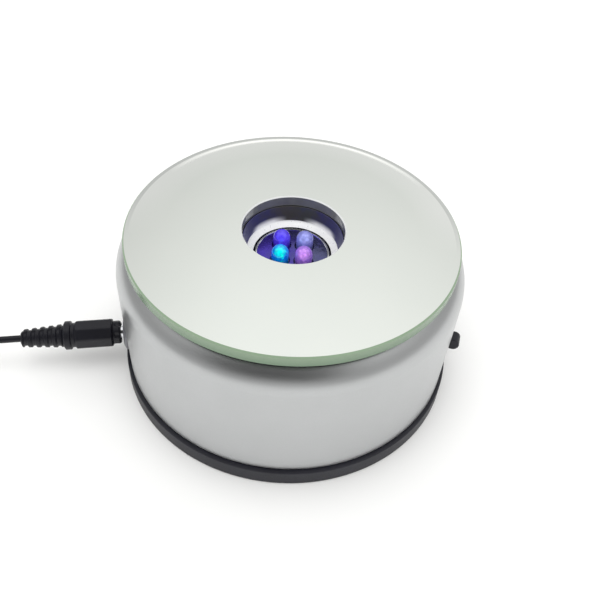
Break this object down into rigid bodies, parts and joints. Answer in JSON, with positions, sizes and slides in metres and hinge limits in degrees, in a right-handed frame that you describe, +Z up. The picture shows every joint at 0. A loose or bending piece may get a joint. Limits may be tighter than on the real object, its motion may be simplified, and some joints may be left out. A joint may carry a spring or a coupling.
{
  "type": "turntable display stand",
  "caption": "Round powered display turntable: mirror-glass top with a lit centre well on a silver drum and black base, driven by an internal gear train.",
  "frame": {"origin": "centre of the stand on the table plane, under the turntable's axis and 0.5 mm below the base plate's flat underside", "axes": "+Z up along the turntable's axis; -Y is the front; -X is the power jack side; +X is the slide switch side"},
  "size_m": [0.1796, 0.1024, 0.0503],
  "materials": {
    "silver_shell": "satin",
    "black_abs": "satin",
    "mirror_glass": "polished",
    "chrome": "polished",
    "white_plastic": "satin",
    "nylon": "satin",
    "steel": "satin",
    "brass": "satin",
    "circuit_board": "satin",
    "light_board": "satin",
    "rubber": "matte",
    "cable_pvc": "satin",
    "led_lens": "gloss",
    "red_wire": "gloss",
    "black_wire": "gloss"
  },
  "bodies": {
    "stand": {"body_shell": "silver_shell", "base_plate": "black_abs", "light_column": "black_abs", "motor_endcap": "black_abs", "dc_jack": "black_abs", "switch_body": "black_abs", "control_chip": "black_abs", "reflector_cup": "chrome", "reflector_disc": "chrome", "gearbox_lower_plate": "white_plastic", "gearbox_upper_plate": "white_plastic", "thrust_washer": "white_plastic", "base_screw_1": "steel", "base_screw_2": "steel", "base_screw_3": "steel", "gearbox_screw_1": "steel", "gearbox_screw_2": "steel", "gearbox_screw_3": "steel", "first_axle": "steel", "second_axle": "steel", "motor_can": "steel", "jack_nut": "steel", "contact_spring_1": "steel", "contact_spring_2": "steel", "contact_spring_3": "steel", "jack_pin": "brass", "contact_bridge_left": "brass", "contact_bridge_right": "brass", "contact_negative": "brass", "contact_positive": "brass", "control_board": "circuit_board", "led_board": "light_board", "foot_1": "rubber", "foot_2": "rubber", "foot_3": "rubber", "foot_4": "rubber", "led_1": "led_lens", "led_2": "led_lens", "led_3": "led_lens", "led_4": "led_lens", "led_wire_red": "red_wire", "motor_wire_red": "red_wire", "jack_wire_red": "red_wire", "switch_wire_red": "red_wire", "led_wire_black": "black_wire", "motor_wire_black": "black_wire", "jack_wire_black": "black_wire"},
    "turntable": {"mirror_glass": "mirror_glass", "turntable_platter": "black_abs", "hub_gear": "nylon"},
    "output_gear": {"third_gear": "nylon", "output_pinion": "nylon"},
    "second_gear": {"second_gear": "nylon"},
    "first_gear": {"first_gear": "nylon"},
    "motor_rotor": {"motor_pinion": "brass"},
    "slide_knob": {"switch_knob": "black_abs"},
    "power_plug": {"plug_body": "cable_pvc", "plug_barrel": "chrome", "power_cable": "cable_pvc"},
    "battery_cover": {"battery_door": "black_abs"}
  },
  "joints": [
    {"name": "turntable_spin", "type": "hinge", "parent": "stand", "child": "turntable", "pos_m": [0, 0, 0.0453], "axis": [0, 0, 1], "continuous": true},
    {"name": "output_gear_spin", "type": "hinge", "parent": "stand", "child": "output_gear", "pos_m": [0.01623, 0.02535, 0.0326], "axis": [0, 0, 1], "continuous": true},
    {"name": "second_gear_spin", "type": "hinge", "parent": "stand", "child": "second_gear", "pos_m": [0.00642, 0.0275, 0.03], "axis": [0, 0, 1], "continuous": true},
    {"name": "first_gear_spin", "type": "hinge", "parent": "stand", "child": "first_gear", "pos_m": [-0.00329, 0.0249, 0.0274], "axis": [0, 0, 1], "continuous": true},
    {"name": "motor_spin", "type": "hinge", "parent": "stand", "child": "motor_rotor", "pos_m": [-0.013, 0.0275, 0.0274], "axis": [0, 0, 1], "continuous": true},
    {"name": "switch_slide", "type": "slide", "parent": "stand", "child": "slide_knob", "axis": [0.225, 0.9744, 0], "range_m": [-0.002, 0.002]},
    {"name": "plug_pull", "type": "slide", "parent": "stand", "child": "power_plug", "axis": [-0.9816, -0.1908, 0], "range_m": [0, 0.02]},
    {"name": "battery_door_swing", "type": "hinge", "parent": "stand", "child": "battery_cover", "pos_m": [0, -0.0012, 0.0005], "axis": [1, 0, 0], "range_deg": [0, 75]}
  ],
  "couplings": [
    {"joint": "output_gear_spin", "follows": "turntable_spin", "ratio": -4},
    {"joint": "second_gear_spin", "follows": "turntable_spin", "ratio": 16},
    {"joint": "first_gear_spin", "follows": "turntable_spin", "ratio": -64},
    {"joint": "motor_spin", "follows": "turntable_spin", "ratio": 256}
  ]
}
